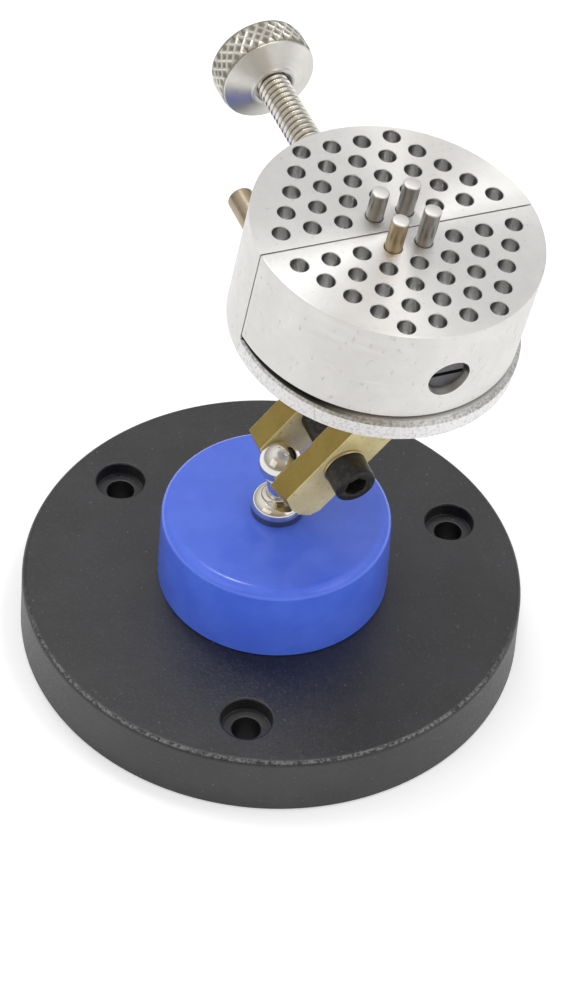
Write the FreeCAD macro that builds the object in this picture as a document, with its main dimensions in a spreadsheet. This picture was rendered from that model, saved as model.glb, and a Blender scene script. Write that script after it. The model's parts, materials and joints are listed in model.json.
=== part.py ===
import FreeCAD, Part
import math
import os

# Ball vise. World frame in millimetres: +Z up, the centre of the base's underside at the
# origin, the floor at Z = 0. Sizes come from the sheet; every sub-part is built in the frame
# of the piece it belongs to (base, arm or head) and then placed in the world.

doc = FreeCAD.newDocument("ball_vise")
sheet = doc.addObject("Spreadsheet::Sheet", "Sizes")

SIZES = [
    # base plate
    ("base_height", 13.2),
    ("base_foot_radius", 50.4),
    ("base_top_radius", 50.0),
    ("base_edge_round", 1.0),
    ("bolt_circle_radius", 39.3),
    ("bolt_first_angle", -94.0),
    ("bolt_hole_radius", 2.75),
    ("bolt_sink_radius", 4.9),
    ("bolt_sink_depth", 2.9),
    ("nut_recess_radius", 10.0),
    ("nut_recess_depth", 8.0),
    # hub
    ("cover_height", 17.5),
    ("cover_foot_radius", 23.05),
    ("cover_top_radius", 22.65),
    ("cover_wall", 2.2),
    ("cover_roof", 2.5),
    ("cover_edge_round", 2.0),
    ("cover_hole_radius", 4.4),
    ("core_spigot_radius", 7.0),
    ("core_flange_radius", 17.0),
    ("core_flange_height", 3.0),
    ("core_tube_radius", 9.0),
    # studs and balls
    ("running_gap", 0.05),
    ("ball_radius", 4.2),
    ("ball_over_cover", 12.66),
    ("neck_radius", 2.3),
    ("stud_shank_radius", 4.0),
    ("stud_thread_radius", 3.0),
    ("stud_thread_end", 1.5),
    ("stud_shoulder_gap", 0.3),
    ("collar_radius", 5.2),
    ("collar_height", 4.2),
    ("collar_round", 2.2),
    ("nut_across_flats", 10.0),
    ("nut_height", 4.7),
    ("washer_radius", 7.0),
    ("washer_thickness", 1.2),
    # clamp arm
    ("ball_span", 21.0),
    ("arm_lean_angle", 33.4),
    ("plate_gap", 7.6),
    ("plate_thickness", 5.4),
    ("plate_above_balls", 2.6),
    ("plate_below_balls", 7.6),
    ("plate_top_reach", 1.2),
    ("plate_upper_reach", 3.4),
    ("plate_upper_drop", 1.15),
    ("plate_end_reach", 3.9),
    ("plate_end_drop", 3.8),
    ("plate_lower_reach", 3.4),
    ("plate_lower_drop", 6.4),
    ("plate_low_reach", 1.55),
    ("clamp_screw_drop", 2.6),
    ("clamp_screw_radius", 2.5),
    ("clamp_head_radius", 4.1),
    ("clamp_head_height", 5.0),
    ("clamp_screw_overhang", 0.9),
    ("hex_across_flats", 4.0),
    ("hex_depth", 2.6),
    ("clamp_washer_radius", 4.35),
    ("clamp_washer_thickness", 0.6),
    ("sleeve_radius", 3.15),
    ("sleeve_slack", 0.6),
    # head
    ("head_yaw_angle", 27.77),
    ("head_pitch_angle", 4.94),
    ("head_roll_angle", 6.55),
    ("jaw_radius", 27.4),
    ("jaw_height", 20.4),
    ("half_kerf", 0.7),
    ("jaw_face_gap", 0.1),
    ("jaw_floor_gap", 0.5),
    ("disc_thickness", 3.9),
    ("jaw_edge_round", 0.5),
    ("hole_radius", 1.7),
    ("hole_depth", 7.0),
    ("hole_pitch", 6.16),
    ("hole_row_pitch", 4.6),
    ("hole_first_row", 4.02),
    ("pivot_flange_radius", 5.6),
    ("pivot_flange_height", 3.6),
    ("pivot_cone_height", 2.4),
    ("pivot_cone_top_radius", 2.6),
    ("pivot_shank_radius", 3.5),
    ("pivot_shank_sunk", 0.2),
    ("pivot_drop", 18.4),
    ("clip_radius", 6.0),
    ("clip_thickness", 0.9),
    ("clip_recess_radius", 6.4),
    ("clip_recess_depth", 1.2),
    ("clip_recess_over", 0.3),
    # sliding parts
    ("screw_drop", 11.3),
    ("screw_radius", 3.15),
    ("screw_core_radius", 2.45),
    ("screw_pitch", 1.27),
    ("journal_radius", 2.5),
    ("screw_bare_length", 24.1),
    ("screw_end_sunk", 0.8),
    ("thread_start", 0.2),
    ("thread_flank", 0.48),
    ("thread_crest", 0.15),
    ("rod_radius", 2.5),
    ("rod_from_rim", 8.8),
    ("rod_short_of_rim", 2.8),
    ("rod_socket_depth", 12.0),
    ("rod_chamfer", 0.4),
    ("grub_radius", 1.5),
    ("grub_setback", 6.0),
    ("grub_sunk", 0.6),
    ("grub_hex_across_flats", 1.5),
    ("grub_hex_depth", 1.2),
    ("retainer_radius", 3.7),
    ("retainer_sink_radius", 4.05),
    ("retainer_sunk", 4.0),
    ("retainer_end_play", 0.05),
    ("retainer_height", 1.8),
    ("retainer_shank", 7.0),
    ("retainer_tip_gap", 0.5),
    ("retainer_slot", 0.9),
    # knob
    ("knob_radius", 9.7),
    ("knob_nose_radius", 4.4),
    ("knob_nose_length", 2.4),
    ("knob_rim_width", 6.8),
    ("knob_recess_radius", 3.7),
    ("knob_recess_depth", 1.6),
    ("knob_edge", 0.7),
    # work pins
    ("pin_radius", 1.625),
    ("pin_top_chamfer", 0.3),
    ("pin_short", 13.0),
    ("pin_middle", 13.8),
    ("pin_long", 14.8),
    # how far cutting tools run past what they cut
    ("cut_past", 1.0),
]

# Places that follow from the sizes: what each piece stands on or is measured from.
FOLLOWS = [
    ("ball_level", "base_height + cover_height + ball_over_cover"),
    ("disc_drop", "jaw_height + jaw_floor_gap + disc_thickness"),
    ("head_over_ball", "disc_drop + pivot_drop"),
    ("rod_offset", "jaw_radius - rod_from_rim"),
    ("rod_end", "jaw_radius - rod_short_of_rim"),
    ("retainer_seat", "jaw_radius - retainer_sunk"),
    ("journal_end", "retainer_seat + retainer_end_play"),
    ("knob_front", "jaw_radius - half_kerf + screw_bare_length"),
    ("knob_rim_start", "knob_front + knob_nose_length"),
    ("knob_back", "knob_rim_start + knob_rim_width"),
    ("screw_end", "knob_back - screw_end_sunk"),
]
BOLTS = 3
HOLE_ROWS = 5
FIRST_ROW_HOLES = 8
SAME = 0.001

for row, (alias, entry) in enumerate(SIZES, start=1):
    sheet.set("A%d" % row, alias)
    sheet.set("B%d" % row, "%s" % entry)
    sheet.setAlias("B%d" % row, alias)
for row, (alias, entry) in enumerate(FOLLOWS, start=len(SIZES) + 1):
    sheet.set("A%d" % row, alias)
    sheet.set("B%d" % row, "=" + entry)
    sheet.setAlias("B%d" % row, alias)
doc.recompute()


def size(alias):
    """The sheet's value for one named size."""
    return float(sheet.get(alias))


def vec(x, y, z):
    return FreeCAD.Vector(x, y, z)


DOWN_Y = FreeCAD.Rotation(vec(0, 0, 1), vec(0, -1, 0))
ALONG_Y = FreeCAD.Rotation(vec(0, 0, 1), vec(0, 1, 0))
UPRIGHT = FreeCAD.Rotation()


def put(obj, at, turn):
    """Place a primitive; a text coordinate becomes an expression on the sheet."""
    obj.Placement = FreeCAD.Placement(vec(0, 0, 0), turn)
    for axis, value in zip("xyz", at):
        obj.setExpression(".Placement.Base.%s" % axis, str(value))
    return obj


def cylinder(name, radius, height, at=(0, 0, 0), turn=UPRIGHT):
    obj = doc.addObject("Part::Cylinder", name)
    obj.setExpression("Radius", radius)
    obj.setExpression("Height", height)
    return put(obj, at, turn)


def cone(name, radius_a, radius_b, height, at=(0, 0, 0), turn=UPRIGHT):
    obj = doc.addObject("Part::Cone", name)
    obj.setExpression("Radius1", radius_a)
    obj.setExpression("Radius2", radius_b)
    obj.setExpression("Height", height)
    return put(obj, at, turn)


def sphere(name, radius, at=(0, 0, 0)):
    obj = doc.addObject("Part::Sphere", name)
    obj.setExpression("Radius", radius)
    return put(obj, at, UPRIGHT)


def block(name, length, width, height, at=(0, 0, 0)):
    obj = doc.addObject("Part::Box", name)
    obj.setExpression("Length", length)
    obj.setExpression("Width", width)
    obj.setExpression("Height", height)
    return put(obj, at, UPRIGHT)


def hexagon(name, across, height, at=(0, 0, 0), turn=UPRIGHT):
    """A six-sided prism, given across its flats."""
    obj = doc.addObject("Part::Prism", name)
    obj.Polygon = 6
    obj.setExpression("Circumradius", "(%s) / sqrt(3)" % across)
    obj.setExpression("Height", height)
    return put(obj, at, turn)


def fuse(name, shapes):
    obj = doc.addObject("Part::MultiFuse", name)
    obj.Shapes = shapes
    obj.Refine = True
    return obj


def cut(name, base, tools):
    tool = tools[0]
    if len(tools) > 1:
        tool = fuse(name + "_tools", tools)
        tool.Refine = False
    obj = doc.addObject("Part::Cut", name)
    obj.Base = base
    obj.Tool = tool
    return obj


def dress(kind, name, base, amount, wanted):
    """Round or bevel the edges of base that the test picks."""
    doc.recompute()
    picked = []
    for index, edge in enumerate(base.Shape.Edges, start=1):
        if wanted(edge):
            picked.append((index, amount, amount))
    obj = doc.addObject("Part::" + kind, name)
    obj.Base = base
    obj.Edges = picked
    return obj


def ring_at(height, radius):
    """Test for a whole or part circle of this radius at this height, seen along Z."""
    def wanted(edge):
        curve = edge.Curve
        if not isinstance(curve, Part.Circle):
            return False
        level = abs(curve.Center.z - height) < SAME
        return level and abs(curve.Radius - radius) < SAME
    return wanted


def s(text):
    """Short form: names in braces become sheet references."""
    return text.replace("{", "Sizes.").replace("}", "")


# The frames. The head's +X runs along the split, +Y from the moving jaw to the fixed one and
# +Z out of the jaws' top, whose centre is the head's origin. The arm's +X runs from the lower
# ball to the upper one, and its +Y is the head's.
HEAD_TURN = FreeCAD.Rotation(size("head_yaw_angle"), size("head_pitch_angle"),
                             size("head_roll_angle"))
LOWER_BALL = vec(0, 0, size("ball_level"))
LEAN = math.radians(size("arm_lean_angle"))
SPAN_X = size("ball_span") * math.sin(LEAN)
SPAN_Z = size("ball_span") * math.cos(LEAN)
HEAD_ORIGIN = LOWER_BALL + HEAD_TURN.multVec(vec(SPAN_X, 0, SPAN_Z + size("head_over_ball")))
ARM_TURN = HEAD_TURN.multiply(FreeCAD.Rotation(vec(0, 1, 0), size("arm_lean_angle") - 90.0))
WORLD = FreeCAD.Placement()
HEAD = FreeCAD.Placement(HEAD_ORIGIN, HEAD_TURN)
ARM = FreeCAD.Placement(LOWER_BALL, ARM_TURN)

NODES = []


def node(name, obj, frame):
    """Name a finished sub-part and place it in the world."""
    obj.Label = name
    obj.Placement = frame.multiply(obj.Placement)
    NODES.append((name, obj))


def base_plate():
    body = cone("base_body", s("{base_foot_radius}"), s("{base_top_radius}"), s("{base_height}"))
    edges = dress("Fillet", "base_rounded", body, size("base_edge_round"),
                  ring_at(size("base_height"), size("base_top_radius")))
    tools = [
        cylinder("base_bore", s("{core_spigot_radius}"), s("{base_height}")),
        cylinder("base_nut_recess", s("{nut_recess_radius}"), s("{nut_recess_depth}")),
    ]
    for index in range(BOLTS):
        angle = "({bolt_first_angle} + %g) * 1deg" % (360.0 * index / BOLTS)
        x = s("{bolt_circle_radius} * cos(%s)" % angle)
        y = s("{bolt_circle_radius} * sin(%s)" % angle)
        tools.append(cylinder("base_hole_%d" % index, s("{bolt_hole_radius}"),
                              s("{base_height}"), (x, y, 0)))
        tools.append(cylinder("base_sink_%d" % index, s("{bolt_sink_radius}"),
                              s("{bolt_sink_depth}"),
                              (x, y, s("{base_height} - {bolt_sink_depth}"))))
    node("base_plate", cut("base_plate", edges, tools), WORLD)


def hub_cover():
    shell = cone("cover_body", s("{cover_foot_radius}"), s("{cover_top_radius}"),
                 s("{cover_height}"), (0, 0, s("{base_height}")))
    rounded = dress("Fillet", "cover_rounded", shell, size("cover_edge_round"),
                    ring_at(size("base_height") + size("cover_height"),
                            size("cover_top_radius")))
    inside = cylinder("cover_inside", s("{cover_top_radius} - {cover_wall}"),
                      s("{cover_height} - {cover_roof}"), (0, 0, s("{base_height}")))
    hole = cylinder("cover_hole", s("{cover_hole_radius}"), s("{cover_height}"),
                    (0, 0, s("{base_height}")))
    node("hub_cover", cut("hub_cover", rounded, [inside, hole]), WORLD)


def hub_core():
    flange = cylinder("core_flange", s("{core_flange_radius}"), s("{core_flange_height}"),
                      (0, 0, s("{base_height}")))
    tube = cylinder("core_tube", s("{core_tube_radius}"), s("{cover_height} - {cover_roof}"),
                    (0, 0, s("{base_height}")))
    spigot = cylinder("core_spigot", s("{core_spigot_radius}"),
                      s("{base_height} - {nut_recess_depth}"), (0, 0, s("{nut_recess_depth}")))
    solid = fuse("core_solid", [flange, tube, spigot])
    bore = cylinder("core_bore", s("{stud_shank_radius} + {running_gap}"),
                    s("{base_height} + {cover_height}"))
    node("hub_core", cut("hub_core", solid, [bore]), WORLD)


COVER_TOP = "({base_height} + {cover_height} + {running_gap})"
SHOULDER = "({nut_recess_depth} - {stud_shoulder_gap})"


def ball_stud():
    collar = cylinder("stud_collar", s("{collar_radius}"), s("{collar_height}"),
                      (0, 0, s(COVER_TOP)))
    collar_top = (size("base_height") + size("cover_height") + size("running_gap")
                  + size("collar_height"))
    parts = [
        dress("Fillet", "stud_collar_rounded", collar, size("collar_round"),
              ring_at(collar_top, size("collar_radius"))),
        sphere("stud_ball", s("{ball_radius}"), (0, 0, s("{ball_level}"))),
        cylinder("stud_neck", s("{neck_radius}"), s("{ball_level} - " + COVER_TOP),
                 (0, 0, s(COVER_TOP))),
        cylinder("stud_shank", s("{stud_shank_radius}"), s(COVER_TOP + " - " + SHOULDER),
                 (0, 0, s(SHOULDER))),
        cylinder("stud_thread", s("{stud_thread_radius}"), s(SHOULDER + " - {stud_thread_end}"),
                 (0, 0, s("{stud_thread_end}"))),
    ]
    node("ball_stud", fuse("ball_stud", parts), WORLD)


def stud_washer():
    low = SHOULDER + " - {washer_thickness}"
    disc = cylinder("washer_disc", s("{washer_radius}"), s("{washer_thickness}"), (0, 0, s(low)))
    hole = cylinder("washer_hole", s("{stud_thread_radius}"), s("{washer_thickness}"),
                    (0, 0, s(low)))
    node("stud_washer", cut("stud_washer", disc, [hole]), WORLD)


def stud_nut():
    low = SHOULDER + " - {washer_thickness} - {nut_height}"
    body = hexagon("nut_body", s("{nut_across_flats}"), s("{nut_height}"), (0, 0, s(low)))
    hole = cylinder("nut_hole", s("{stud_thread_radius}"), s("{nut_height}"), (0, 0, s(low)))
    node("stud_nut", cut("stud_nut", body, [hole]), WORLD)


def plate_outline(side):
    """The plate's outline on its inner face, ends clipped, as a face at Y = side."""
    corners = [
        (size("plate_top_reach"), size("plate_above_balls")),
        (size("plate_upper_reach"), -size("plate_upper_drop")),
        (size("plate_end_reach"), -size("plate_end_drop")),
        (size("plate_lower_reach"), -size("plate_lower_drop")),
        (size("plate_low_reach"), -size("plate_below_balls")),
    ]
    left = [vec(-reach, side, z) for reach, z in corners]
    right = [vec(size("ball_span") - point.x, side, point.z) for point in reversed(left)]
    wire = Part.makePolygon(left + right + [left[0]])
    return Part.Face(wire)


def clamp_plate(name, sign):
    inner = sign * size("plate_gap") / 2
    body = doc.addObject("Part::Feature", name + "_body")
    body.Shape = plate_outline(inner).extrude(vec(0, sign * size("plate_thickness"), 0))
    reach = s("{plate_gap} + 2 * ({plate_thickness} + {cut_past})")
    tools = [
        sphere(name + "_low_seat", s("{ball_radius} + {running_gap}")),
        sphere(name + "_high_seat", s("{ball_radius} + {running_gap}"),
               (s("{ball_span}"), 0, 0)),
        cylinder(name + "_screw_hole", s("{clamp_screw_radius} + {running_gap}"), reach,
                 (s("{ball_span} / 2"), "-(%s) / 2" % reach, s("-{clamp_screw_drop}")),
                 ALONG_Y),
    ]
    node(name, cut(name, body, tools), ARM)


def ring_on_screw(name, radius, thickness, start):
    """A ring around the clamp screw, from Y = start towards +Y."""
    at = (s("{ball_span} / 2"), s(start), s("-{clamp_screw_drop}"))
    disc = cylinder(name + "_disc", s(radius), s(thickness), at, ALONG_Y)
    hole = cylinder(name + "_hole", s("{clamp_screw_radius} + {running_gap}"), s(thickness),
                    at, ALONG_Y)
    node(name, cut(name, disc, [hole]), ARM)


OUTER = "({plate_gap} / 2 + {plate_thickness})"
UNDER_HEAD = "(" + OUTER + " + {clamp_washer_thickness})"


def clamp_screw():
    x = s("{ball_span} / 2")
    z = s("-{clamp_screw_drop}")
    shank = cylinder("clamp_shank", s("{clamp_screw_radius}"),
                     s(UNDER_HEAD + " + " + OUTER + " + {clamp_screw_overhang}"),
                     (x, s("-" + UNDER_HEAD), z), ALONG_Y)
    head = cylinder("clamp_head", s("{clamp_head_radius}"), s("{clamp_head_height}"),
                    (x, s("-" + UNDER_HEAD), z), DOWN_Y)
    solid = fuse("clamp_solid", [shank, head])
    socket = hexagon("clamp_socket", s("{hex_across_flats}"), s("{hex_depth}"),
                     (x, s("-" + UNDER_HEAD + " - {clamp_head_height} + {hex_depth}"), z),
                     DOWN_Y)
    node("clamp_screw", cut("clamp_screw", solid, [socket]), ARM)


DISC_TOP = "(-{jaw_height} - {jaw_floor_gap})"
FLANGE_TOP = "(-{disc_drop} - {running_gap})"
HALF_BLOCK = "({jaw_radius} + {half_kerf} + {cut_past})"


def head_stud():
    flange_low = "(" + FLANGE_TOP + " - {pivot_flange_height})"
    cone_low = "(" + flange_low + " - {pivot_cone_height})"
    shank_top = "(" + DISC_TOP + " - {pivot_shank_sunk})"
    parts = [
        sphere("pivot_ball", s("{ball_radius}"), (0, 0, s("-{head_over_ball}"))),
        cylinder("pivot_neck", s("{neck_radius}"), s("{head_over_ball} + " + flange_low),
                 (0, 0, s("-{head_over_ball}"))),
        cone("pivot_cone", s("{pivot_cone_top_radius}"), s("{pivot_flange_radius}"),
             s("{pivot_cone_height}"), (0, 0, s(cone_low))),
        cylinder("pivot_flange", s("{pivot_flange_radius}"), s("{pivot_flange_height}"),
                 (0, 0, s(flange_low))),
        cylinder("pivot_shank", s("{pivot_shank_radius}"), s(shank_top + " - " + FLANGE_TOP),
                 (0, 0, s(FLANGE_TOP))),
    ]
    node("head_stud", fuse("head_stud", parts), HEAD)


def stud_clip():
    low = "(" + DISC_TOP + " - {clip_recess_depth} + {running_gap})"
    disc = cylinder("clip_disc", s("{clip_radius}"), s("{clip_thickness}"), (0, 0, s(low)))
    hole = cylinder("clip_hole", s("{pivot_shank_radius}"), s("{clip_thickness}"),
                    (0, 0, s(low)))
    node("stud_clip", cut("stud_clip", disc, [hole]), HEAD)


def work_holes(name, sign):
    """Blind holes of one jaw: five rows along the split, one hole fewer in each."""
    tools = []
    for line in range(HOLE_ROWS):
        count = FIRST_ROW_HOLES - line
        y = s("%d * ({hole_first_row} + %d * {hole_row_pitch})" % (sign, line))
        for index in range(count):
            x = s("%s * {hole_pitch}" % (index - (count - 1) / 2))
            tools.append(cylinder("%s_hole_%d_%d" % (name, line, index), s("{hole_radius}"),
                                  s("{hole_depth}"), (x, y, s("-{hole_depth}"))))
    return tools


def rod_holes(name, radius, length, turn):
    return [cylinder("%s_rod_hole_%d" % (name, index), s(radius), s(length),
                     (s("%d * {rod_offset}" % sign), 0, s("-{screw_drop}")), turn)
            for index, sign in enumerate((-1, 1))]


def fixed_jaw():
    whole = cylinder("fixed_whole", s("{jaw_radius}"), s("{disc_drop}"),
                     (0, s("-{half_kerf}"), s("-{disc_drop}")))
    away = block("fixed_away", s("2 * ({jaw_radius} + {cut_past})"), s(HALF_BLOCK),
                 s("-" + DISC_TOP + " + {cut_past}"),
                 (s("-{jaw_radius} - {cut_past}"), s("{jaw_face_gap} / 2 - " + HALF_BLOCK),
                  s(DISC_TOP)))
    half = cut("fixed_half", whole, [away])
    rounded = dress("Fillet", "fixed_rounded", half, size("jaw_edge_round"),
                    lambda e: ring_at(0, size("jaw_radius"))(e) or
                    ring_at(-size("disc_drop"), size("jaw_radius"))(e))
    tools = work_holes("fixed", 1)
    tools += rod_holes("fixed", "{rod_radius} + {running_gap}", "{jaw_radius} + {cut_past}",
                       ALONG_Y)
    tools.append(cylinder("fixed_screw_bore", s("{screw_radius} + {running_gap}"),
                          s("{jaw_radius} + {cut_past}"), (0, 0, s("-{screw_drop}")),
                          ALONG_Y))
    tools.append(cylinder("fixed_pivot_bore", s("{pivot_shank_radius} + {running_gap}"),
                          s("{disc_thickness}"), (0, 0, s("-{disc_drop}"))))
    tools.append(cylinder("fixed_clip_recess", s("{clip_recess_radius}"),
                          s("{clip_recess_depth} + {clip_recess_over}"),
                          (0, 0, s(DISC_TOP + " - {clip_recess_depth}"))))
    node("fixed_jaw", cut("fixed_jaw", rounded, tools), HEAD)


def moving_jaw():
    whole = cylinder("moving_whole", s("{jaw_radius}"), s("{jaw_height}"),
                     (0, s("{half_kerf}"), s("-{jaw_height}")))
    away = block("moving_away", s("2 * ({jaw_radius} + {cut_past})"), s(HALF_BLOCK),
                 s("{jaw_height} + 2 * {cut_past}"),
                 (s("-{jaw_radius} - {cut_past}"), s("-{jaw_face_gap} / 2"),
                  s("-{jaw_height} - {cut_past}")))
    half = cut("moving_half", whole, [away])
    rounded = dress("Fillet", "moving_rounded", half, size("jaw_edge_round"),
                    lambda e: ring_at(0, size("jaw_radius"))(e) or
                    ring_at(-size("jaw_height"), size("jaw_radius"))(e))
    tools = work_holes("moving", -1)
    tools += rod_holes("moving", "{rod_radius}", "{rod_socket_depth}", DOWN_Y)
    tools.append(cylinder("moving_screw_bore", s("{journal_radius} + {running_gap}"),
                          s("{jaw_radius}"), (0, 0, s("-{screw_drop}")), DOWN_Y))
    tools.append(cylinder("moving_sink", s("{retainer_sink_radius}"), s("{jaw_radius}"),
                          (0, s("-{retainer_seat}"), s("-{screw_drop}")), DOWN_Y))
    for index, sign in enumerate((-1, 1)):
        tools.append(cylinder("moving_grub_hole_%d" % index, s("{grub_radius}"),
                              s("{jaw_height} - {screw_drop} - {rod_radius}"),
                              (s("%d * {rod_offset}" % sign), s("-{grub_setback}"),
                               s("-{jaw_height}"))))
    node("moving_jaw", cut("moving_jaw", rounded, tools), HEAD)


def guide_rod(name, sign):
    length = "({rod_end} + {rod_socket_depth} - {rod_chamfer})"
    x = s("%d * {rod_offset}" % sign)
    z = s("-{screw_drop}")
    rod = cylinder(name + "_shaft", s("{rod_radius}"), s(length),
                   (x, s("-{rod_socket_depth}"), z), ALONG_Y)
    tip = cone(name + "_tip", s("{rod_radius}"), s("{rod_radius} - {rod_chamfer}"),
               s("{rod_chamfer}"), (x, s("{rod_end} - {rod_chamfer}"), z), ALONG_Y)
    node(name, fuse(name, [rod, tip]), HEAD)


def rod_grub(name, sign):
    """Set screw that holds a guide rod in the moving jaw from below."""
    x = s("%d * {rod_offset}" % sign)
    low = "(-{jaw_height} + {grub_sunk})"
    body = cylinder(name + "_body", s("{grub_radius}"),
                    s("-{screw_drop} - {rod_radius} - " + low), (x, s("-{grub_setback}"), s(low)))
    socket = hexagon(name + "_socket", s("{grub_hex_across_flats}"), s("{grub_hex_depth}"),
                     (x, s("-{grub_setback}"), s(low)))
    node(name, cut(name, body, [socket]), HEAD)


def lead_screw():
    """Journal towards the moving jaw, ridged thread towards the knob."""
    crest = size("screw_radius")
    root = size("screw_core_radius")
    pitch = size("screw_pitch")
    flank = size("thread_flank")
    land = size("thread_crest")
    end = size("screw_end")
    smooth = size("knob_front") + size("knob_recess_depth")
    points = [vec(0, -size("journal_end"), 0),
              vec(size("journal_radius"), -size("journal_end"), 0),
              vec(size("journal_radius"), 0, 0), vec(root, 0, 0)]
    count = int((smooth - 2 * size("thread_start")) / pitch)
    for index in range(count):
        start = size("thread_start") + index * pitch
        points.append(vec(root, start, 0))
        points.append(vec(crest, start + flank, 0))
        points.append(vec(crest, start + flank + land, 0))
        points.append(vec(root, start + 2 * flank + land, 0))
    points.append(vec(root, smooth, 0))
    points.append(vec(crest, smooth, 0))
    points.append(vec(crest, end, 0))
    points.append(vec(0, end, 0))
    face = Part.Face(Part.makePolygon(points + [points[0]]))
    body = doc.addObject("Part::Feature", "lead_body")
    body.Shape = face.revolve(vec(0, 0, 0), vec(0, 1, 0), 360)
    body.Placement = FreeCAD.Placement(vec(0, 0, -size("screw_drop")), UPRIGHT)
    hole = cylinder("lead_tapped_hole", s("{grub_radius}"), s("{retainer_shank}"),
                    (0, s("-{journal_end}"), s("-{screw_drop}")), ALONG_Y)
    node("lead_screw", cut("lead_screw", body, [hole]), HEAD)


def retaining_screw():
    z = s("-{screw_drop}")
    head = cylinder("retainer_head", s("{retainer_radius}"), s("{retainer_height}"),
                    (0, s("-{journal_end}"), z), DOWN_Y)
    shank = cylinder("retainer_thread", s("{grub_radius}"),
                     s("{retainer_shank} - {retainer_tip_gap}"), (0, s("-{journal_end}"), z),
                     ALONG_Y)
    solid = fuse("retainer_solid", [head, shank])
    slot = block("retainer_slot_cut", s("2 * ({retainer_radius} + {cut_past})"),
                 s("{retainer_slot}"), s("{retainer_slot}"),
                 (s("-{retainer_radius} - {cut_past}"),
                  s("-{journal_end} - {retainer_height}"),
                  s("-{screw_drop} - {retainer_slot} / 2")))
    node("retaining_screw", cut("retaining_screw", solid, [slot]), HEAD)


def knob():
    z = s("-{screw_drop}")
    nose = cone("knob_nose", s("{knob_nose_radius}"), s("{knob_radius}"),
                s("{knob_rim_start} - {knob_front}"), (0, s("{knob_front}"), z), ALONG_Y)
    rim = cylinder("knob_rim", s("{knob_radius}"),
                   s("{knob_back} - {knob_rim_start} - {knob_edge}"),
                   (0, s("{knob_rim_start}"), z), ALONG_Y)
    back = cone("knob_bevel", s("{knob_radius}"), s("{knob_radius} - {knob_edge}"),
                s("{knob_edge}"), (0, s("{knob_back} - {knob_edge}"), z), ALONG_Y)
    solid = fuse("knob_solid", [nose, rim, back])
    tools = [
        cylinder("knob_recess", s("{knob_recess_radius}"), s("{knob_recess_depth}"),
                 (0, s("{knob_front}"), z), ALONG_Y),
        cylinder("knob_bore", s("{screw_radius}"), s("{knob_back} - {knob_front}"),
                 (0, s("{knob_front}"), z), ALONG_Y),
        cylinder("knob_grub_hole", s("{grub_radius}"), s("{knob_radius}"),
                 (0, s("({knob_rim_start} + {knob_back}) / 2"),
                  s("-{screw_drop} - {knob_radius}"))),
    ]
    node("knob", cut("knob", solid, tools), HEAD)


def knob_grub():
    """Set screw that holds the knob on the lead screw, from below."""
    y = s("({knob_rim_start} + {knob_back}) / 2")
    low = "(-{screw_drop} - {knob_radius} + {grub_sunk})"
    body = cylinder("knob_grub_body", s("{grub_radius}"),
                    s("-{screw_drop} - {screw_radius} - " + low), (0, y, s(low)))
    socket = hexagon("knob_grub_socket", s("{grub_hex_across_flats}"), s("{grub_hex_depth}"),
                     (0, y, s(low)))
    around = cylinder("knob_grub_shaft", s("{screw_radius}"), s("{knob_back}"),
                      (0, 0, s("-{screw_drop}")), ALONG_Y)
    node("knob_grub", cut("knob_grub", body, [socket, around]), HEAD)


def work_pin(name, side, sign, length):
    x = s("%s * {hole_pitch} / 2" % side)
    y = s("%d * {hole_first_row}" % sign)
    shaft = cylinder(name + "_shaft", s("{pin_radius}"), s(length + " - {pin_top_chamfer}"),
                     (x, y, s("-{hole_depth}")))
    top = cone(name + "_top", s("{pin_radius}"), s("{pin_radius} - {pin_top_chamfer}"),
               s("{pin_top_chamfer}"), (x, y, s("-{hole_depth} + " + length
                                                + " - {pin_top_chamfer}")))
    node(name, fuse(name, [shaft, top]), HEAD)


base_plate()
hub_cover()
hub_core()
ball_stud()
stud_washer()
stud_nut()
clamp_plate("clamp_plate_near", -1)
clamp_plate("clamp_plate_far", 1)
ring_on_screw("clamp_washer", "{clamp_washer_radius}", "{clamp_washer_thickness}",
              "-" + UNDER_HEAD)
ring_on_screw("clamp_sleeve", "{sleeve_radius}", "{plate_gap} - {sleeve_slack}",
              "-{plate_gap} / 2 + {sleeve_slack}")
clamp_screw()
head_stud()
stud_clip()
fixed_jaw()
moving_jaw()
guide_rod("guide_rod_left", -1)
guide_rod("guide_rod_right", 1)
rod_grub("rod_grub_left", -1)
rod_grub("rod_grub_right", 1)
lead_screw()
retaining_screw()
knob()
knob_grub()
work_pin("work_pin_far_left", -1, 1, "{pin_short}")
work_pin("work_pin_far_right", 1, 1, "{pin_middle}")
work_pin("work_pin_near_right", 1, -1, "{pin_long}")
work_pin("work_pin_near_left", -1, -1, "{pin_middle}")

doc.recompute()
os.makedirs("parts", exist_ok=True)
for label, obj in NODES:
    shape = obj.Shape
    state = [word for word in obj.State if word in ("Invalid", "Error")]
    if state or shape.isNull() or not shape.isValid() or not shape.Solids:
        raise RuntimeError("%s failed to build: %s" % (label, obj.State))
    shape.exportStep("parts/%s.step" % label)
print("built", len(NODES), "sub-parts")
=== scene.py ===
# %% [markdown]
# # A ball vise, dressed over its CAD frame
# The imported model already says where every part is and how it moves. This file gives those
# parts the edges, threads, knurling and finishes that the real vise has. Each step first says
# what the piece is on the real object, how it could be made, and why this way was chosen.

# %% Load the frame
import json
import math

import bmesh
import bpy
from mathutils import Euler, Matrix, Vector


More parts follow.
